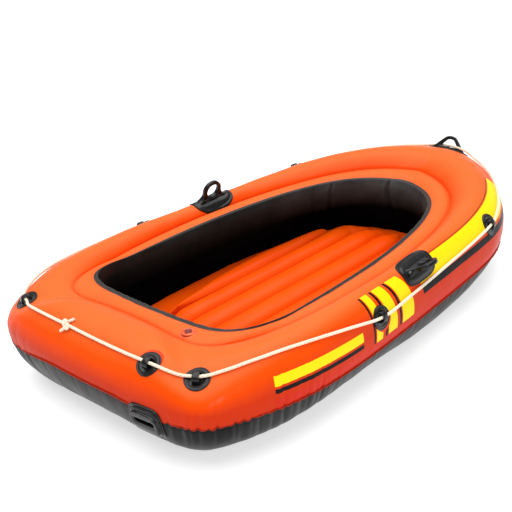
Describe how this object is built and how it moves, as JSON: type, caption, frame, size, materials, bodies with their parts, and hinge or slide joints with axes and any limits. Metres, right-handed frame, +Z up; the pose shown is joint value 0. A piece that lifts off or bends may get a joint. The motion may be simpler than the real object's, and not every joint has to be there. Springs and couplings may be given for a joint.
{
  "type": "inflatable boat",
  "caption": "Small inflatable rowing boat: two-chamber ring hull, ribbed air floor, rubber oarlocks, tow and carry handles, rope through round clips and plug valves.",
  "frame": {"origin": "centre of the boat's outline, on the ground the boat lies on", "axes": "+X towards the bow, +Y towards port, +Z up"},
  "size_m": [1.6038, 0.9428, 0.317],
  "materials": {
    "orange_vinyl": "glossy welded vinyl",
    "lower_black_vinyl": "semi-gloss welded vinyl",
    "wall_black_vinyl": "semi-gloss welded vinyl",
    "chamber_film": null,
    "divider_film": "thin welded vinyl film",
    "weld_flange_vinyl": "pressed weld",
    "bottom_vinyl": "matt vinyl",
    "floor_orange_vinyl": "satin vinyl",
    "floor_web_film": "thin welded vinyl film",
    "cream_rope": "braided cord",
    "black_rubber": "moulded, satin",
    "clear_orange_vinyl": "moulded soft vinyl",
    "dark_plug_vinyl": "moulded soft vinyl"
  },
  "bodies": {
    "hull": {"deck_skin": "orange_vinyl", "lower_hull_skin": "lower_black_vinyl", "cockpit_wall_skin": "wall_black_vinyl", "outer_air_chamber": "chamber_film", "inner_air_chamber": "chamber_film", "chamber_divider": "divider_film", "seam_weld_flange": "weld_flange_vinyl", "bottom_sheet": "bottom_vinyl", "floor_top_skin": "floor_orange_vinyl", "floor_web_starboard_outer": "floor_web_film", "floor_web_starboard_middle": "floor_web_film", "floor_web_starboard_inner": "floor_web_film", "floor_web_port_inner": "floor_web_film", "floor_web_port_middle": "floor_web_film", "floor_web_port_outer": "floor_web_film", "grab_rope": "cream_rope", "rope_knot": "cream_rope", "rope_clip_stern_port": "black_rubber", "rope_clip_transom": "black_rubber", "rope_clip_stern_starboard": "black_rubber", "rope_clip_mid_starboard": "black_rubber", "rope_clip_bow_starboard": "black_rubber", "rope_clip_bow_port": "black_rubber", "rope_clip_mid_port": "black_rubber", "oarlock_port": "black_rubber", "oarlock_starboard": "black_rubber", "bow_handle": "black_rubber", "stern_handle": "black_rubber", "deck_valve_base": "clear_orange_vinyl", "main_valve_base": "clear_orange_vinyl", "floor_valve_base": "clear_orange_vinyl"},
    "deck_valve_stem": {"deck_valve_stem": "clear_orange_vinyl"},
    "deck_valve_cap": {"deck_valve_cap": "dark_plug_vinyl"},
    "main_valve_stem": {"main_valve_stem": "clear_orange_vinyl"},
    "main_valve_cap": {"main_valve_cap": "dark_plug_vinyl"},
    "floor_valve_stem": {"floor_valve_stem": "clear_orange_vinyl"},
    "floor_valve_cap": {"floor_valve_cap": "dark_plug_vinyl"}
  },
  "joints": [
    {"name": "deck_valve_pull", "type": "slide", "parent": "hull", "child": "deck_valve_stem", "axis": [0.02, 0, 0.9998], "range_m": [0, 0.007]},
    {"name": "deck_valve_cap_hinge", "type": "hinge", "parent": "deck_valve_stem", "child": "deck_valve_cap", "pos_m": [-0.60668, -0.19268, 0.25395], "axis": [0.2873, -0.9578, -0.0058], "range_deg": [0, 110]},
    {"name": "main_valve_pull", "type": "slide", "parent": "hull", "child": "main_valve_stem", "axis": [-0.0791, 0.9727, 0.2183], "range_m": [0, 0.007]},
    {"name": "main_valve_cap_hinge", "type": "hinge", "parent": "main_valve_stem", "child": "main_valve_cap", "pos_m": [-0.48249, 0.46912, 0.17369], "axis": [-0.9967, -0.081, 0], "range_deg": [0, 110]},
    {"name": "floor_valve_pull", "type": "slide", "parent": "hull", "child": "floor_valve_stem", "axis": [0, 0, 1], "range_m": [0, 0.007]},
    {"name": "floor_valve_cap_hinge", "type": "hinge", "parent": "floor_valve_stem", "child": "floor_valve_cap", "pos_m": [-0.4892, -0.1, 0.0516], "axis": [0, 1, 0], "range_deg": [0, 110]}
  ]
}
